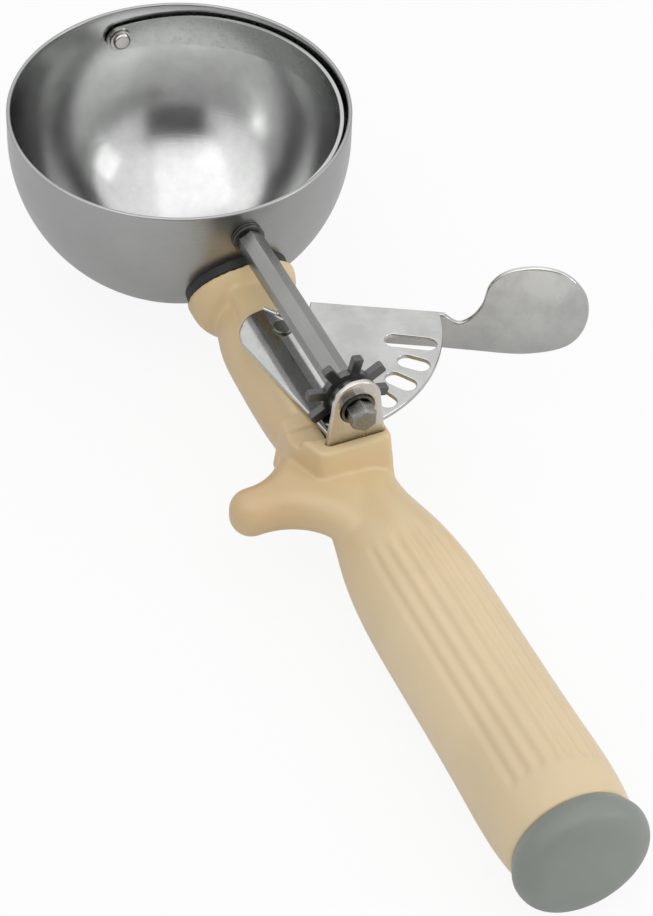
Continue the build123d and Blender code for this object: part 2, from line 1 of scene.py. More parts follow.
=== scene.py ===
"""Looks of the thumb-lever ice cream scoop, dressed over its CAD frame.

Blender works in metres. The sizes below are in millimetres and are multiplied by MM where they are used.
"""
from math import asin, cos, pi, radians, sin, sqrt

import bmesh
import bpy
import numpy as np
from mathutils import Matrix, Vector


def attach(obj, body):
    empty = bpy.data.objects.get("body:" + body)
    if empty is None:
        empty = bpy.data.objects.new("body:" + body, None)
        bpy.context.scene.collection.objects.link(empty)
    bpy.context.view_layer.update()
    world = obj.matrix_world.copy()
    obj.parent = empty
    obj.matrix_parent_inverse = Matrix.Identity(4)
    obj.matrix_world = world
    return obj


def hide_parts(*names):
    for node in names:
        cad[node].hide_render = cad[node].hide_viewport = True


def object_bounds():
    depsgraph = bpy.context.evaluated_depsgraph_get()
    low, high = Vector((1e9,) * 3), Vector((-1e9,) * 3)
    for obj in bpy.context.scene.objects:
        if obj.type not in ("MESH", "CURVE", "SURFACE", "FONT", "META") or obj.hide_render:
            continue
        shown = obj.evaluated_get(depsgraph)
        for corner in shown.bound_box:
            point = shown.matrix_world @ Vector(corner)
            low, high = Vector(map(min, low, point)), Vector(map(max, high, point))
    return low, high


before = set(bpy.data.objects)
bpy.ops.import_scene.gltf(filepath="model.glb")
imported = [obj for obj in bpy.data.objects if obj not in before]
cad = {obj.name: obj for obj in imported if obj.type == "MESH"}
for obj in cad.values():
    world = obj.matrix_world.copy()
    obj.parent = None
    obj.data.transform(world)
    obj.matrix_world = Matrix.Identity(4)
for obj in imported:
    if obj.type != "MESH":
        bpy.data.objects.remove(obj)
cad_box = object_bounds()
scene = bpy.context.scene
MM = 0.001

# ---- sizes in millimetres, the CAD model's own where both show the same form ----
bowl_radius = 33.3
bowl_wall = 0.8
axis_z = -6.0
pivot = (52.15, -0.6)
lever_top = -13.3
sheet = 1.0
sector_radius = 29.7
slot_first, slot_pitch, slot_count, slot_width = -3.3, 12.4, 6, 3.36
slot_outer, slot_inner, long_slot_inner = 28.75, 22.6, 19.0
back_edge_angle, back_edge_offset = 61.4, 7.9
side_edge, side_end_angle = (0.8, -8.5), -7.0
nose_left = ((-2.4, -7.7), (-5.4, -4.8))
nose_right = (-1.4, 5.2)
nose_angle, nose_offset, nose_length = 35.2, 2.5, 6.5
flange_depth, flange_start, flange_rise = 8.8, 16.0, 0.5
pad_start = 29.4
pad_outline = ((0, 0), (2.9, -1.8), (5.2, -0.3), (7.0, 2.9), (8.3, 8.2), (11.4, 11.6), (17.2, 13.1),
               (22.3, 11.8), (26.2, 7.0), (26.7, 0.4), (23.9, -5.2), (16.6, -8.2), (5.2, -8.4), (0, -8.3))
post_hole_radius = 1.45
hex_across = 4.6
ear_front, ear_sheet, ear_radius, ear_height, ear_half = 82.9, 1.2, 4.6, 6.1, 5.6
block_top = -13.0
strap_front, strap_bottom, strap_half = 46.0, -19.962, 4.0
bush_radius = 3.2
tail_length = 3.6
pinion_back, pinion_thickness, pinion_teeth = 80.2, 1.5, 8
pinion_tip, pinion_root, pinion_tooth, pinion_lead = 8.1, 5.0, 2.0, -13.5
collar_back = 34.7
tenon_front, tenon_radius = 29.3, 1.2
journal_front, journal_radius = 32.2, 1.6
grip_z = -26.6
grip_end = 172.8
flute_count, flute_pitch, flute_depth = 7, 13.2, 0.5
grip_front, grip_back, grip_core = 101, 171, 9.0      # the stretch that is reshaped, outside the core radius
flute_front, flute_back = 103, 166
cap_profile = ((0, 11.3), (2.6, 12.35), (5.2, 11.7), (6.7, 9.3), (7.1, 5.0))
cap_gap, plug_radius, plug_bore, plug_length = 0.05, 6.9, 5.4, 7.0
seal_inner, seal_outer, seal_thickness = 8.0, 10.2, 2.0
seal_gap, seal_lip = 0.05, 0.4
boss_tilt = 27.0


# ---------------------------------------------------------------- small helpers
def add(name, mesh, body, replaced):
    """A mesh as a piece of the scene that rides on a body and stands for CAD nodes."""
    obj = bpy.data.objects.new(name, mesh)
    scene.collection.objects.link(obj)
    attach(obj, body)
    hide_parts(*replaced)
    return obj


def smooth(mesh, sharp=35.0):
    """Smooth shading, with edges sharper than an angle in degrees kept crisp."""
    mesh.polygons.foreach_set("use_smooth", [True] * len(mesh.polygons))
    mesh.set_sharp_from_angle(angle=radians(sharp))
    mesh.update()
    return mesh


def from_bmesh(name, bm, sharp=35.0):
    """Turns a bmesh into a smooth-shaded mesh and frees it."""
    bmesh.ops.recalc_face_normals(bm, faces=bm.faces)
    mesh = bpy.data.meshes.new(name)
    bm.to_mesh(mesh)
    bm.free()
    return smooth(mesh, sharp)


def lathe(name, profile, origin, axis, segments=160, closed=True, sharp=35.0):
    """Turned solid: profile points are (along the axis, radius) in millimetres."""
    way = Vector(axis).normalized()
    side = way.orthogonal().normalized()
    other = way.cross(side)
    bm = bmesh.new()
    rings = []
    for along, radius in profile:
        centre = Vector(origin) + way * along
        if radius < 1e-6:
            rings.append([bm.verts.new(centre * MM)])
            continue
        ring = []
        for i in range(segments):
            angle = 2 * pi * i / segments
            point = centre + side * (radius * cos(angle)) + other * (radius * sin(angle))
            ring.append(bm.verts.new(point * MM))
        rings.append(ring)
    pairs = list(zip(rings, rings[1:]))
    if closed:
        pairs.append((rings[-1], rings[0]))
    for one, two in pairs:
        for i in range(segments):
            j = (i + 1) % segments
            if len(one) == 1 and len(two) == 1:
                continue
            if len(one) == 1:
                bm.faces.new((one[0], two[i], two[j]))
            elif len(two) == 1:
                bm.faces.new((one[i], two[0], one[j]))
            else:
                bm.faces.new((one[i], two[i], two[j], one[j]))
    return from_bmesh(name, bm, sharp)


def arc(centre, radius, start, end, count):
    """Points on a circle, angles in degrees."""
    return [(centre[0] + radius * cos(radians(start + (end - start) * i / count)),
             centre[1] + radius * sin(radians(start + (end - start) * i / count))) for i in range(count + 1)]


def curve_through(points, steps=10):
    """A smooth open run through points."""
    pts = [np.array(p, float) for p in points]
    pts = [2 * pts[0] - pts[1]] + pts + [2 * pts[-1] - pts[-2]]
    out = []
    for a, b, c, d in zip(pts, pts[1:], pts[2:], pts[3:]):
        la, lb, lc = (np.linalg.norm(step) ** 0.5 for step in (b - a, c - b, d - c))
        m1 = (c - b) + lb * ((b - a) / la - (c - a) / (la + lb))
        m2 = (c - b) + lb * ((d - c) / lc - (d - b) / (lb + lc))
        for i in range(steps):
            t = i / steps
            out.append(tuple((2 * t ** 3 - 3 * t ** 2 + 1) * b + (t ** 3 - 2 * t ** 2 + t) * m1
                             + (-2 * t ** 3 + 3 * t ** 2) * c + (t ** 3 - t ** 2) * m2))
    out.append(tuple(pts[-2]))
    return out


def rounded_sheet(name, outlines, thickness, rounding, place):
    """Sheet metal cut to outlines, the first the outside and the rest holes, with rounded edges."""
    curve = bpy.data.curves.new(name, "CURVE")
    curve.dimensions = "2D"
    curve.fill_mode = "BOTH"
    for outline in outlines:
        spline = curve.splines.new("POLY")
        spline.points.add(len(outline) - 1)
        for point, (x, y) in zip(spline.points, outline):
            point.co = (x * MM, y * MM, 0, 1)
        spline.use_cyclic_u = True
    curve.bevel_depth = rounding * MM
    curve.bevel_resolution = 3
    curve.offset = -rounding * MM
    curve.extrude = (thickness / 2 - rounding) * MM
    holder = bpy.data.objects.new(name, curve)
    scene.collection.objects.link(holder)
    mesh = bpy.data.meshes.new_from_object(holder.evaluated_get(bpy.context.evaluated_depsgraph_get()))
    bpy.data.objects.remove(holder)
    mesh.transform(place)
    bm = bmesh.new()
    bm.from_mesh(mesh)
    bmesh.ops.remove_doubles(bm, verts=bm.verts, dist=2e-7)
    bpy.data.meshes.remove(mesh)
    return from_bmesh(name, bm, 60)


def joined(name, meshes):
    """One mesh out of several."""
    bm = bmesh.new()
    for mesh in meshes:
        bm.from_mesh(mesh)
    mesh = bpy.data.meshes.new(name)
    bm.to_mesh(mesh)
    bm.free()
    return mesh


def weighted(obj):
    """Flat faces keep flat reflections beside their rounded edges."""
    modifier = obj.modifiers.new("flat faces", "WEIGHTED_NORMAL")
    modifier.weight = 100
    modifier.keep_sharp = True
    return obj


def basis(origin, x_dir, y_dir):
    """Matrix that lays local X and Y along two directions, with its origin at a place in millimetres."""
    x, y = Vector(x_dir).normalized(), Vector(y_dir).normalized()
    z = x.cross(y)
    matrix = Matrix((x, y, z)).transposed().to_4x4()
    matrix.translation = Vector(origin) * MM
    return matrix


# ---------------------------------------------------------------- materials
def shader(name, color, metallic, roughness, **constants):
    """A material with its constants on the shader's own sockets."""
    mat = bpy.data.materials.new(name)
    mat.use_nodes = True
    tree = mat.node_tree
    bsdf = tree.nodes["Principled BSDF"]
    bsdf.inputs["Base Color"].default_value = (*color, 1)
    bsdf.inputs["Metallic"].default_value = metallic
    bsdf.inputs["Roughness"].default_value = roughness
    for key, value in constants.items():
        bsdf.inputs[key.replace("_", " ")].default_value = value
    return mat, tree, bsdf


def put(tree, kind, links=(), **settings):
    """Adds a node, sets its properties or unlinked inputs and links inputs."""
    item = tree.nodes.new(kind)
    for key, value in settings.items():
        if hasattr(item, key):
            setattr(item, key, value)
        else:
            item.inputs[key.replace("_", " ")].default_value = value
    for where, source in dict(links).items():
        tree.links.new(source, item.inputs[where])
    return item


def place_coordinates(tree, scale=(1, 1, 1)):
    """Object coordinates, stretched along X, Y and Z."""
    coordinates = put(tree, "ShaderNodeTexCoord")
    mapping = put(tree, "ShaderNodeMapping", {"Vector": coordinates.outputs["Object"]})
    mapping.inputs["Scale"].default_value = scale
    return mapping.outputs["Vector"]


def noise(tree, vector, scale, detail=4.0, roughness=0.5):
    item = put(tree, "ShaderNodeTexNoise", {"Vector": vector}, Scale=scale, Detail=detail)
    item.inputs["Roughness"].default_value = roughness
    return item.outputs["Fac"]


def spread(tree, value, low, high, start=0.3, end=0.7):
    """Maps the middle of a noise to a range of values."""
    item = put(tree, "ShaderNodeMapRange", {"Value": value})
    for key, number in zip(("From Min", "From Max", "To Min", "To Max"), (start, end, low, high)):
        item.inputs[key].default_value = number
    return item.outputs["Result"]


def blend(tree, factor, first, second):
    """Mixes two colours, each a constant or another node's output."""
    item = put(tree, "ShaderNodeMix", data_type="RGBA")
    tree.links.new(factor, item.inputs["Factor"])
    for socket in item.inputs:
        source = {"A": first, "B": second}.get(socket.name)
        if socket.type == "RGBA" and source is not None:
            if isinstance(source, tuple):
                socket.default_value = (*source, 1)
            else:
                tree.links.new(source, socket)
    return [s for s in item.outputs if s.type == "RGBA"][0]


def bumped(tree, bsdf, height, strength, distance):
    item = put(tree, "ShaderNodeBump", {"Height": height}, Strength=strength, Distance=distance)
    tree.links.new(item.outputs["Normal"], bsdf.inputs["Normal"])


def scaled(color, factor):
    return tuple(c * factor for c in color)


def plastic(name, color, roughness, grain, front=None, rest_shade=None, **constants):
    """Moulded plastic, a little cloudy, with fine grain and uneven gloss.

    front is its colour towards the bowl, and the colour after it the one towards the finger rest: both are
    painted shade, darker than the plastic's own colour.
    """
    mat, tree, bsdf = shader(name, color, 0, roughness, **constants)
    vector = place_coordinates(tree)
    cloud = noise(tree, vector, 45, 3)
    shade = blend(tree, spread(tree, cloud, 0, 1), scaled(color, 0.94), scaled(color, 1.04))
    # Painted shade: darker, warmer plastic towards the bowl end and towards the finger rest.
    if front:
        place = put(tree, "ShaderNodeSeparateXYZ", {"Vector": vector}).outputs
        near = blend(tree, spread(tree, cloud, 0, 1), scaled(front, 0.94), scaled(front, 1.04))
        near = blend(tree, spread(tree, place["Y"], 1, 0, -0.016, -0.004), near, rest_shade)
        shade = blend(tree, spread(tree, place["X"], 0, 1, 0.085, 0.125), near, shade)
    tree.links.new(shade, bsdf.inputs["Base Color"])
    gloss = spread(tree, noise(tree, vector, 260, 5), roughness - 0.05, roughness + 0.07)
    tree.links.new(gloss, bsdf.inputs["Roughness"])
    bumped(tree, bsdf, noise(tree, vector, 2600, 3), grain, 0.00004)
    return mat


def metal(name, color, roughness, lines, bump, vary=0.08, **constants):
    """Steel with fine lines; lines gives the noise scale along X, Y and Z."""
    mat, tree, bsdf = shader(name, color, 1, roughness, **constants)
    streaks = noise(tree, place_coordinates(tree, lines), 1, 5, 0.6)
    blotches = noise(tree, place_coordinates(tree), 90, 4)
    shade = blend(tree, spread(tree, blotches, 0, 1), scaled(color, 1 - vary), scaled(color, 1 + vary))
    tree.links.new(shade, bsdf.inputs["Base Color"])
    tree.links.new(spread(tree, streaks, roughness - 0.06, roughness + 0.08), bsdf.inputs["Roughness"])
    bumped(tree, bsdf, streaks, bump, 0.00003)
    return mat


def spun_vector(tree, across, around):
    """Coordinates that make rings round the bowl's axis."""
    coordinates = put(tree, "ShaderNodeTexCoord")
    split = put(tree, "ShaderNodeSeparateXYZ", {"Vector": coordinates.outputs["Object"]})
    x, y, z = split.outputs
    flat = put(tree, "ShaderNodeCombineXYZ", {"X": x, "Y": y})
    radius = put(tree, "ShaderNodeVectorMath", {0: flat.outputs[0]}, operation="LENGTH")
    turn = put(tree, "ShaderNodeMath", {0: y, 1: x}, operation="ARCTAN2")
    stretches = (("X", radius.outputs["Value"], across), ("Y", z, across), ("Z", turn.outputs[0], around))
    parts = {}
    for key, source, factor in stretches:
        item = put(tree, "ShaderNodeMath", {0: source}, operation="MULTIPLY")
        item.inputs[1].default_value = factor
        parts[key] = item.outputs[0]
    return put(tree, "ShaderNodeCombineXYZ", parts).outputs[0]


def bowl_steel():
    """Spun steel: satin outside, polished inside, with faint rings; the outside is coloured darker as painted
    shade.
    """
    color = (0.5, 0.505, 0.5)
    mat, tree, bsdf = shader("spun_steel", color, 1, 0.3)
    coordinates = put(tree, "ShaderNodeTexCoord").outputs["Object"]
    centre = put(tree, "ShaderNodeVectorMath", {0: coordinates}, operation="SUBTRACT")
    centre.inputs[1].default_value = (0, 0, axis_z * MM)
    reach = put(tree, "ShaderNodeVectorMath", {0: centre.outputs[0]}, operation="LENGTH").outputs["Value"]
    outside = spread(tree, reach, 0, 1, (bowl_radius - 0.5) * MM, (bowl_radius - 0.3) * MM)
    rings = noise(tree, spun_vector(tree, 5200, 2), 1, 3)
    blotches = noise(tree, place_coordinates(tree), 60, 4)
    rough = put(tree, "ShaderNodeMix", {"Factor": outside}, data_type="FLOAT")
    tree.links.new(spread(tree, blotches, 0.14, 0.21), rough.inputs["A"])
    tree.links.new(spread(tree, rings, 0.27, 0.36), rough.inputs["B"])
    tree.links.new(rough.outputs["Result"], bsdf.inputs["Roughness"])
    smudges = noise(tree, place_coordinates(tree), 160, 7, 0.7)
    inner = blend(tree, spread(tree, smudges, 0, 1, 0.35, 0.65), scaled(color, 0.99), scaled(color, 1.14))
    # Painted shade: the outside is coloured darker than the inside.
    outer = blend(tree, spread(tree, blotches, 0, 1), scaled(color, 0.74), scaled(color, 0.82))
    tree.links.new(blend(tree, outside, inner, outer), bsdf.inputs["Base Color"])
    bumped(tree, bsdf, rings, 0.25, 0.00002)
    return mat


def lever_steel():
    """Polished sheet: faint brushing, a few smudges, and painted light: darker low down, lighter towards the
    pad's top.
    """
    color = (0.5, 0.505, 0.495)
    mat, tree, bsdf = shader("polished_sheet", color, 1, 0.13)
    coordinates = put(tree, "ShaderNodeTexCoord").outputs["Object"]
    height = put(tree, "ShaderNodeSeparateXYZ", {"Vector": coordinates}).outputs["Z"]
    smudges = noise(tree, place_coordinates(tree), 130, 6, 0.65)
    # Painted light: the sheet's colour is darker low down and lighter towards the pad's top, blended by
    # height.
    low = blend(tree, spread(tree, smudges, 0, 1, 0.35, 0.6), scaled(color, 0.78), scaled(color, 0.9))
    high = blend(tree, spread(tree, smudges, 0, 1, 0.35, 0.6), scaled(color, 1.02), scaled(color, 1.32))
    shade = blend(tree, spread(tree, height, 0, 1, -0.02, -0.001), low, high)
    tree.links.new(shade, bsdf.inputs["Base Color"])
    lines = noise(tree, place_coordinates(tree, (500, 90, 500)), 1, 5, 0.6)
    tree.links.new(spread(tree, lines, 0.06, 0.14), bsdf.inputs["Roughness"])
    bumped(tree, bsdf, lines, 0.04, 0.00003)
    return mat


# The last two colours are painted shade, towards the bowl end and towards the finger rest.
ivory = plastic("ivory_plastic", (0.76, 0.61, 0.39), 0.34, 0.18, (0.76, 0.59, 0.345), (0.64, 0.465, 0.26),
                Subsurface_Weight=0.08, Subsurface_Scale=0.003)
grey = plastic("grey_plastic", (0.245, 0.27, 0.245), 0.42, 0.25)
rubber = plastic("seal_rubber", (0.018, 0.02, 0.018), 0.6, 0.3)
spun = bowl_steel()
polished = lever_steel()
strip = metal("blade_steel", (0.5, 0.51, 0.5), 0.22, (90, 900, 900), 0.04, 0.04)
drawn = metal("drawn_steel", (0.28, 0.28, 0.272), 0.24, (60, 2600, 2600), 0.35)
sintered = metal("sintered_steel", (0.135, 0.135, 0.138), 0.4, (1500, 1500, 1500), 0.5, 0.15)
dark = metal("dark_steel", (0.16, 0.165, 0.15), 0.32, (900, 900, 900), 0.2, 0.1)
plated = metal("plated_sheet", (0.63, 0.61, 0.57), 0.24, (900, 900, 60), 0.12)
zinc = metal("zinc_steel", (0.52, 0.52, 0.5), 0.3, (900, 900, 900), 0.2)
wire = metal("spring_steel", (0.5, 0.5, 0.48), 0.25, (900, 900, 900), 0.2)


def paint(obj, mat):
    obj.data.materials.clear()
    obj.data.materials.append(mat)
    return obj


# ---------------------------------------------------------------- bowl
def bowl_profile():
    """Wall of the bowl about its centre line: outside up, rounded rim, inside down."""
    inside = bowl_radius - bowl_wall
    rim = 0.36
    outer = [(-bowl_radius * cos(radians(a)), bowl_radius * sin(radians(a))) for a in np.linspace(0, 90, 46)]
    inner = [(-inside * cos(radians(a)), inside * sin(radians(a))) for a in np.linspace(90, 0, 46)]
    top = -axis_z
    edge = arc((top - rim, bowl_radius - rim), rim, 90, 0, 5)
    edge += arc((top - rim, inside + rim), rim, 0, -90, 5)
    return outer + edge + inner


bowl_mesh = lathe("bowl_shell", bowl_profile(), (0, 0, axis_z), (0, 0, 1), 256, False)
paint(add("bowl_shell", bowl_mesh, "handle_body", ["bowl"]), spun)


def shell_ring(inside, outside, inner, outer, lip):
    """Ring that lies on the bowl's outside, as (along, radius) about the boss direction."""
    def on(radius, off):
        return (sqrt(radius ** 2 - off ** 2), off)

    low = [on(inside, inner + (outer - inner) * t) for t in np.linspace(0, 1, 8)]
    high = [on(outside, outer - lip - (outer - inner - 2 * lip) * t) for t in np.linspace(0, 1, 8)]
    return low + [(on(inside, outer)[0] + lip, outer), (on(outside, outer)[0] - lip, outer)] + high


boss_way = (cos(radians(boss_tilt)), 0, -sin(radians(boss_tilt)))
seal_profile = shell_ring(bowl_radius + seal_gap, bowl_radius + seal_thickness,
                          seal_inner, seal_outer, seal_lip)
seal_mesh = lathe("seal_ring", seal_profile, (0, 0, axis_z), boss_way, 128)
paint(add("seal_ring", seal_mesh, "handle_body", ["bowl_seal"]), rubber)


# ---------------------------------------------------------------- handle
def relax(points, pairs, weight, rounds):
    """Moves each point towards the mean of its neighbours, by weight."""
    count = np.bincount(pairs.ravel(), minlength=len(points)).astype(float)
    count[count == 0] = 1
    for _ in range(rounds):
        total = np.zeros_like(points)
        for k in range(3):
            total[:, k] = (np.bincount(pairs[:, 0], points[pairs[:, 1], k], len(points))
                           + np.bincount(pairs[:, 1], points[pairs[:, 0], k], len(points)))
        points += (total / count[:, None] - points) * (0.6 * weight)[:, None]
    return points


def handle_mesh():
    """The CAD handle with its edges and joins softened as moulding does, and its flutes cut again cleanly."""
    holder = bpy.data.objects.new("handle_source", cad["handle"].data.copy())
    scene.collection.objects.link(holder)
    remesh = holder.modifiers.new("even", "REMESH")
    remesh.mode = "VOXEL"
    remesh.voxel_size = 0.35 * MM
    mesh = bpy.data.meshes.new_from_object(holder.evaluated_get(bpy.context.evaluated_depsgraph_get()))
    bpy.data.objects.remove(holder)
    points = np.empty(len(mesh.vertices) * 3)
    mesh.vertices.foreach_get("co", points)
    points = points.reshape(-1, 3) / MM
    pairs = np.empty(len(mesh.edges) * 2, np.int64)
    mesh.edges.foreach_get("vertices", pairs)
    pairs = pairs.reshape(-1, 2)
    x, y, z = points.T
    # The block under the bracket keeps crisper edges than the rest.
    block = (x > 71.5) & (x < 87.5) & (z > -20) & (y < 8) & (y > -12)
    points = relax(points, pairs, np.where(block, 0.3, 1.0), 8)
    flutes(points)
    mesh.vertices.foreach_set("co", (points * MM).ravel())
    mesh.update()
    return smooth(mesh, 180)


def flutes(points):
    """Sets the grip's upper side to the round of its lower side, less the flutes."""
    x = points[:, 0]
    y, z = points[:, 1], points[:, 2] - grip_z
    radius = np.hypot(y, z)
    angle = np.degrees(np.arctan2(z, y))
    grip = (x > grip_front) & (x < grip_back) & (radius > grip_core)
    below = grip & (angle < -20) & (angle > -160)
    bins = np.arange(grip_front, grip_back + 1, 1.0)
    mean = [radius[below][np.abs(x[below] - b) < 0.8].mean() for b in bins]
    full = np.interp(x, bins, mean)
    depth = np.zeros(len(x))
    for i in range(flute_count):
        centre = 90 + flute_pitch * (i - (flute_count - 1) / 2)
        off = np.abs(angle - centre) / (flute_pitch / 2)
        depth = np.maximum(depth, np.where(off < 1, 0.5 + 0.5 * np.cos(pi * off), 0))
    fade = np.clip((x - flute_front) / 7, 0, 1) * np.clip((flute_back - x) / 2.5, 0, 1)
    fade = fade * fade * (3 - 2 * fade)
    upper = grip & (angle > 20) & (angle < 160)
    ramp = np.clip((x - grip_front) / 3, 0, 1) * np.clip((grip_back - x) / 3, 0, 1)
    side = np.clip((angle - 20) / 15, 0, 1) * np.clip((160 - angle) / 15, 0, 1)
    target = full - flute_depth * depth * fade
    new = radius + (target - radius) * ramp * side
    scale = np.where(upper, new / np.maximum(radius, 1e-6), 1)
    points[:, 1] = y * scale
    points[:, 2] = z * scale + grip_z


paint(add("handle_moulding", handle_mesh(), "handle_body", ["handle"]), ivory)


def cap_mesh():
    """Domed cap and its hollow plug, turned about the grip's axis."""
    dome = curve_through([(cap_gap + a, r) for a, r in cap_profile], 8)
    plug = [(0.3, plug_radius), (-plug_length, plug_radius)]
    hollow = [(-plug_length, plug_bore), (0, plug_bore), (0, 0)]
    profile = [(cap_profile[-1][0] + cap_gap, 0), *dome[::-1], *plug, *hollow]
    return lathe("grip_cap", profile, (grip_end, 0, grip_z), (1, 0, 0), 160, False)


paint(add("grip_cap", cap_mesh(), "handle_body", ["end_cap"]), grey)


# ---------------------------------------------------------------- lever
def at_pivot(offset):
    return (pivot[0] + offset[0], pivot[1] + offset[1])


def polar(radius, angle):
    return (pivot[0] + radius * cos(radians(angle)), pivot[1] + radius * sin(radians(angle)))


def sector_outline():
    """Outside of the slotted sector: round edge, free side, nose at the front, and back to the fold."""
    along = (cos(radians(back_edge_angle)), sin(radians(back_edge_angle)))
    foot = (pivot[0] - along[1] * back_edge_offset, pivot[1] + along[0] * back_edge_offset)
    start = (foot[0] + along[0] * 4.5, foot[1] + along[1] * 4.5)
    corner_angle = back_edge_angle + 180 / pi * asin(back_edge_offset / sector_radius)
    way = (cos(radians(nose_angle)), sin(radians(nose_angle)))
    nose_end = (pivot[0] - way[1] * nose_offset + way[0] * 0.5,
                pivot[1] + way[0] * nose_offset + way[1] * 0.5)
    nose_tip = (nose_end[0] - way[0] * nose_length, nose_end[1] - way[1] * nose_length)
    outline = arc(pivot, sector_radius, corner_angle, side_end_angle, 72)
    outline += curve_through([at_pivot(side_edge), *[at_pivot(p) for p in nose_left], nose_tip], 8)
    outline += curve_through([nose_end, at_pivot(nose_right), start], 8)
    return outline


def slot_outline(inner, angle):
    """Round-ended radial slot."""
    half = slot_width / 2
    out = polar(slot_outer - half, angle)
    inn = polar(inner + half, angle)
    return arc(out, half, angle - 90, angle + 90, 16) + arc(inn, half, angle + 90, angle + 270, 16)


def pad_shape():
    """Folded edge and thumb pad, as (along the fold, height)."""
    pad = curve_through([(pad_start + a, lever_top + b) for a, b in pad_outline], 8)
    foot = lever_top - flange_depth + flange_rise
    return pad + [(flange_start + 3, foot), (flange_start, foot + 4), (flange_start, lever_top - 0.02)]


def lever_meshes():
    slots = [slot_outline(long_slot_inner if i == slot_count - 1 else slot_inner, slot_first + i * slot_pitch)
             for i in range(slot_count)]
    post_hole = arc(pivot, post_hole_radius, 0, 350, 35)
    flat = Matrix.Translation((0, 0, (lever_top - sheet / 2) * MM))
    plate = rounded_sheet("plate", [sector_outline(), *slots, post_hole], sheet, 0.22, flat)
    along = Vector((cos(radians(back_edge_angle)), sin(radians(back_edge_angle)), 0))
    across = Vector((-along.y, along.x, 0))
    origin = Vector((*pivot, 0)) + across * (back_edge_offset - sheet / 2 + 0.01)
    upright = rounded_sheet("upright", [pad_shape()], sheet, 0.3, basis(origin, along, (0, 0, 1)))
    return [plate, upright]


lever_sheet = add("lever_sheet", joined("lever_sheet", lever_meshes()), "lever", ["lever"])
paint(weighted(lever_sheet), polished)


# ---------------------------------------------------------------- bracket, shaft and pinion
def ear_outline():
    """Ear seen along the shaft, as (y, z)."""
    top = arc((0, axis_z + ear_height - ear_radius), ear_radius, 0, 180, 40)
    foot = [(-ear_half, strap_bottom), (ear_half, strap_bottom), (ear_half, block_top)]
    return [*foot, *top, (-ear_half, block_top)]


def bracket_meshes():
    stand = basis((ear_front + ear_sheet / 2, 0, 0), (0, 1, 0), (0, 0, 1))
    hole = arc((0, axis_z), bush_radius + 0.05, 0, 354, 59)
    ear = rounded_sheet("ear", [ear_outline(), hole], ear_sheet, 0.3, stand)
    back = ear_front + ear_sheet / 2
    strap = [(strap_front, -strap_half), (back, -strap_half), (back, strap_half), (strap_front, strap_half)]
    flat = Matrix.Translation((0, 0, (strap_bottom + ear_sheet / 2) * MM))
    return [ear, rounded_sheet("strap", [strap], ear_sheet, 0.2, flat)]


bracket_mesh = joined("ear_and_strap", bracket_meshes())
paint(weighted(add("ear_and_strap", bracket_mesh, "handle_body", ["bracket"])), plated)


def hexagon(across, rounding):
    """Hexagon with a corner upwards and its corners slightly rounded, as (y, z) points."""
    corner = across / sqrt(3)
    points = []
    for i in range(6):
        angle = 90 + 60 * i
        inner = corner - rounding / cos(radians(30))
        centre = (inner * cos(radians(angle)), inner * sin(radians(angle)))
        points += arc(centre, rounding, angle - 30, angle + 30, 4)
    return points


def shaft_mesh():
    """Hexagonal bar with chamfered ends, and its round journal towards the bowl."""
    tail = ear_front + ear_sheet + tail_length
    stations = ((collar_back, 0.86), (collar_back + 0.35, 1.0), (tail - 0.5, 1.0), (tail, 0.84))
    bm = bmesh.new()
    rings = []
    section = hexagon(hex_across, 0.22)
    for x, factor in stations:
        ring = [(x * MM, y * factor * MM, (axis_z + z * factor) * MM) for y, z in section]
        rings.append([bm.verts.new(point) for point in ring])
    for one, two in zip(rings, rings[1:]):
        for i in range(len(one)):
            j = (i + 1) % len(one)
            bm.faces.new((one[i], one[j], two[j], two[i]))
    bm.faces.new(rings[0])
    bm.faces.new(rings[-1])
    bar = from_bmesh("bar", bm, 25)
    journal_back = collar_back + 0.2
    tenon = [(tenon_front, 0), (tenon_front, tenon_radius), (journal_front, tenon_radius)]
    journal = [(journal_front, journal_radius), (journal_back, journal_radius), (journal_back, 0)]
    turned = lathe("journal", tenon + journal, (0, 0, axis_z), (1, 0, 0), 48, False)
    return joined("drive_rod", [bar, turned])


paint(add("drive_rod", shaft_mesh(), "scraper", ["shaft"]), drawn)


def pinion_outline():
    """Wheel with narrow teeth, (y, z) about the shaft axis."""
    half = pinion_tooth / 2
    base = 180 / pi * asin(half / pinion_root)
    points = []
    pitch = 360 / pinion_teeth
    for i in range(pinion_teeth):
        centre = -90 + pinion_lead + i * pitch
        way = (cos(radians(centre)), sin(radians(centre)))
        side = (-way[1], way[0])
        corner = 0.45
        for sign in (-1, 1):
            mid = (way[0] * (pinion_tip - corner) + side[0] * sign * (half - corner),
                   way[1] * (pinion_tip - corner) + side[1] * sign * (half - corner))
            foot = (way[0] * pinion_root * cos(radians(base)) + side[0] * sign * half,
                    way[1] * pinion_root * cos(radians(base)) + side[1] * sign * half)
            bend = arc(mid, corner, centre + (-90 if sign < 0 else 0), centre + (0 if sign < 0 else 90), 4)
            points += [foot, *bend] if sign < 0 else [*bend, foot]
        points += arc((0, 0), pinion_root, centre + base + 2, centre + pitch - base - 2, 5)
    return points


pinion_place = basis((pinion_back - pinion_thickness / 2, 0, axis_z), (0, 1, 0), (0, 0, 1))
bore = hexagon(hex_across + 0.1, 0.1)
pinion_mesh = rounded_sheet("drive_pinion", [pinion_outline(), bore], pinion_thickness, 0.2, pinion_place)
paint(weighted(add("drive_pinion", pinion_mesh, "scraper", ["pinion"])), sintered)


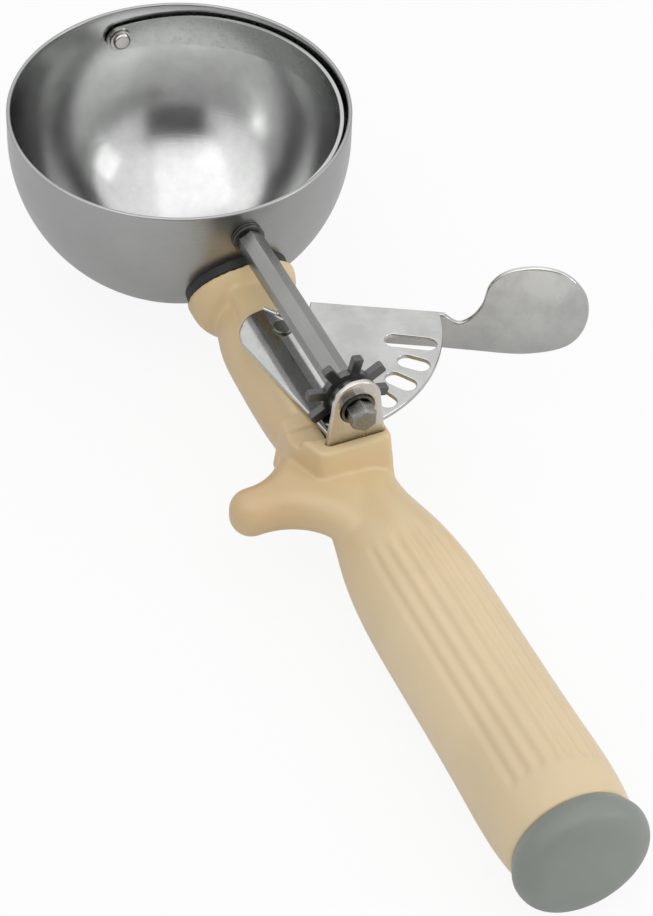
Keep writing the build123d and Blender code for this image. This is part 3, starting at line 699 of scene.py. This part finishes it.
# ---------------------------------------------------------------- CAD nodes that keep their shape
kept_nodes = {
    "bowl_bushing": dark, "tang": zinc, "handle_washer": zinc, "handle_nut": zinc,
    "bracket_screws": zinc, "rear_bushing": dark, "pivot_post": dark, "pivot_spacer": zinc,
    "pivot_washer": zinc, "return_spring": wire, "far_pivot_rivet": plated, "far_pivot_washer": plated,
    "front_collar": dark, "pinion_spacer": dark, "scraper_blade": strip, "blade_hub": plated,
}
for node, mat in kept_nodes.items():
    paint(cad[node], mat)


# ---------------------------------------------------------------- camera
# Fitted to the photo: the direction towards the camera and its roll in radians, and the camera's place
# from the rim's centre in millimetres, along that direction and across the view.
azimuth, elevation, roll = -0.44248, 0.77491, 0.03774
distance, shift_x, shift_y = 673.4554, 28.27331, -67.53414
focal_pixels, photo_height = 3500.0, 916
out = Vector((cos(azimuth) * cos(elevation), sin(azimuth) * cos(elevation), sin(elevation)))
right = (-out).cross(Vector((0, 0, 1))).normalized()
up = right.cross(-out)
view_x = right * cos(roll) + up * sin(roll)
view_y = up * cos(roll) - right * sin(roll)
camera_data = bpy.data.cameras.new("camera")
camera_data.sensor_width = 36
camera_data.lens = focal_pixels / photo_height * camera_data.sensor_width
camera_data.clip_start = 0.01
camera_data.clip_end = 20
camera = bpy.data.objects.new("camera", camera_data)
scene.collection.objects.link(camera)
pose = Matrix((view_x, view_y, out)).transposed().to_4x4()
pose.translation = (out * distance + view_x * shift_x + view_y * shift_y) * MM
camera.matrix_world = pose
scene.camera = camera


# ---------------------------------------------------------------- floor, world and lamps
floor_place = (0.07, 0, cad_box[0][2] - 0.0002)
floor_size, floor_glow, mirrored_glow = 6.0, 0.9, 0.25

# The light tent's level near and below the horizon, and overhead.
level_low, level_high = 0.72, 1.38
# Patches of the tent that only reflections see: azimuth and elevation in degrees, half width and half
# height as tangents, soft edge, and then the factor on the tent's level.
tent_patches = (
    ((-19.5, 21, 0.385, 0.395, 0.045), 0.2),      # dark opening on the camera's side, mirrored in the bowl
    ((-20, 15, 0.75, 0.62, 0.35), 0.75),          # soft shade round it
    ((-22, 40, 0.5, 0.16, 0.08), 0.6),            # band above it
    ((-88, 46, 0.75, 0.32, 0.12), 1.22),          # brighter panel on the finger rest's side
)
# Diffuse light takes a share of the tent's level, more of it from one wide soft patch.
diffuse_share, key_gain = 0.59, 1.5
key_patch = (10, 42, 0.95, 0.8, 0.5)


def seen_directly(tree, path):
    """One for rays from the camera or through glass, else zero."""
    rays = {0: path.outputs["Is Camera Ray"], 1: path.outputs["Is Transmission Ray"]}
    return put(tree, "ShaderNodeMath", rays, operation="MAXIMUM").outputs[0]


def floor_material():
    """Pale floor: nearly white to the camera, keeps the object's shadow."""
    mat = bpy.data.materials.new("floor")
    mat.use_nodes = True
    tree = mat.node_tree
    tree.nodes.clear()
    path = put(tree, "ShaderNodeLightPath")
    shown = put(tree, "ShaderNodeMath", {0: seen_directly(tree, path)}, operation="MULTIPLY")
    shown.inputs[1].default_value = floor_glow
    mirrored = put(tree, "ShaderNodeMath", {0: path.outputs["Is Glossy Ray"]}, operation="MULTIPLY")
    mirrored.inputs[1].default_value = mirrored_glow
    share = put(tree, "ShaderNodeMath", {0: shown.outputs[0], 1: mirrored.outputs[0]}, operation="MAXIMUM")
    diffuse = put(tree, "ShaderNodeBsdfDiffuse", Color=(0.86, 0.86, 0.86, 1))
    glow = put(tree, "ShaderNodeEmission", Color=(1, 1, 1, 1), Strength=1.0)
    both = put(tree, "ShaderNodeMixShader", {0: share.outputs[0], 1: diffuse.outputs[0], 2: glow.outputs[0]})
    put(tree, "ShaderNodeOutputMaterial", {"Surface": both.outputs[0]})
    return mat


def add_floor():
    """Square plane just under the scoop."""
    mesh = bpy.data.meshes.new("floor")
    half = floor_size / 2
    corners = [(-half, -half, 0), (half, -half, 0), (half, half, 0), (-half, half, 0)]
    mesh.from_pydata(corners, [], [(0, 1, 2, 3)])
    obj = bpy.data.objects.new("floor", mesh)
    obj.matrix_world = Matrix.Translation(floor_place)
    scene.collection.objects.link(obj)
    mesh.materials.append(floor_material())


add_floor()


def facing(azimuth_deg, elevation_deg):
    """Direction as a unit vector."""
    a, e = radians(azimuth_deg), radians(elevation_deg)
    return Vector((cos(a) * cos(e), sin(a) * cos(e), sin(e)))


def window(tree, way, azimuth_deg, elevation_deg, half_width, half_height, soft):
    """Mask of a rectangle of directions; its half sizes are tangents of the half angles."""
    ahead = facing(azimuth_deg, elevation_deg)
    side = Vector((0, 0, 1)).cross(ahead).normalized()
    parts = []
    for direction in (ahead, side, ahead.cross(side)):
        item = put(tree, "ShaderNodeVectorMath", {0: way}, operation="DOT_PRODUCT")
        item.inputs[1].default_value = direction
        parts.append(item.outputs["Value"])
    mask = spread(tree, parts[0], 0, 1, 0.05, 0.1)
    for part, half in ((parts[1], half_width), (parts[2], half_height)):
        ratio = put(tree, "ShaderNodeMath", {0: part, 1: parts[0]}, operation="DIVIDE")
        size = put(tree, "ShaderNodeMath", {0: ratio.outputs[0]}, operation="ABSOLUTE")
        edge = spread(tree, size.outputs[0], 1, 0, half - soft, half + soft)
        mask = put(tree, "ShaderNodeMath", {0: mask, 1: edge}, operation="MULTIPLY").outputs[0]
    return mask


def studio_world():
    """Light tent: bright overhead, dimmer to the sides, patched in reflections, plain white to the camera."""
    world = bpy.data.worlds.new("studio")
    scene.world = world
    world.use_nodes = True
    tree = world.node_tree
    tree.nodes.clear()
    way = put(tree, "ShaderNodeTexCoord").outputs["Generated"]
    height = put(tree, "ShaderNodeSeparateXYZ", {"Vector": way}).outputs["Z"]
    level = spread(tree, height, level_low, level_high, 0.1, 0.95)
    tent = level
    for patch, factor in tent_patches:
        share = spread(tree, window(tree, way, *patch), 1, factor, 0, 1)
        tent = put(tree, "ShaderNodeMath", {0: tent, 1: share}, operation="MULTIPLY").outputs[0]
    path = put(tree, "ShaderNodeLightPath")
    key = spread(tree, window(tree, way, *key_patch), diffuse_share, diffuse_share * key_gain, 0, 1)
    plain = put(tree, "ShaderNodeMath", {0: level, 1: key}, operation="MULTIPLY")
    strength = put(tree, "ShaderNodeMix", {"Factor": path.outputs["Is Glossy Ray"]}, data_type="FLOAT")
    tree.links.new(plain.outputs[0], strength.inputs["A"])
    tree.links.new(tent, strength.inputs["B"])
    soft = put(tree, "ShaderNodeBackground", {"Strength": strength.outputs["Result"]}, Color=(1, 1, 1, 1))
    white = put(tree, "ShaderNodeBackground", Color=(1, 1, 1, 1), Strength=1.0)
    seen = seen_directly(tree, path)
    mix = put(tree, "ShaderNodeMixShader", {0: seen, 1: soft.outputs[0], 2: white.outputs[0]})
    put(tree, "ShaderNodeOutputWorld", {"Surface": mix.outputs[0]})


studio_world()


def lamp(name, azimuth_deg, elevation_deg, distance_m, size, power, target=(0.06, 0, -0.02)):
    """Rectangular lamp that shines at a target; sizes in metres, power in watts."""
    data = bpy.data.lights.new(name, "AREA")
    data.shape = "RECTANGLE"
    data.size, data.size_y = size
    data.energy = power
    way = facing(azimuth_deg, elevation_deg)
    obj = bpy.data.objects.new(name, data)
    obj.location = Vector(target) + way * distance_m
    obj.rotation_euler = way.to_track_quat("Z", "Y").to_euler()
    scene.collection.objects.link(obj)


lamp("front_top", -15, 76.5, 1.2, (1.15, 1.3), 1.9, (-0.01, -0.262, -0.02))
lamp("right_low", 53, 20, 1.2, (0.38, 0.3), 1.45)
lamp("right_high", 57, 37, 1.2, (0.42, 0.36), 0.35)

scene.view_settings.view_transform = "Standard"
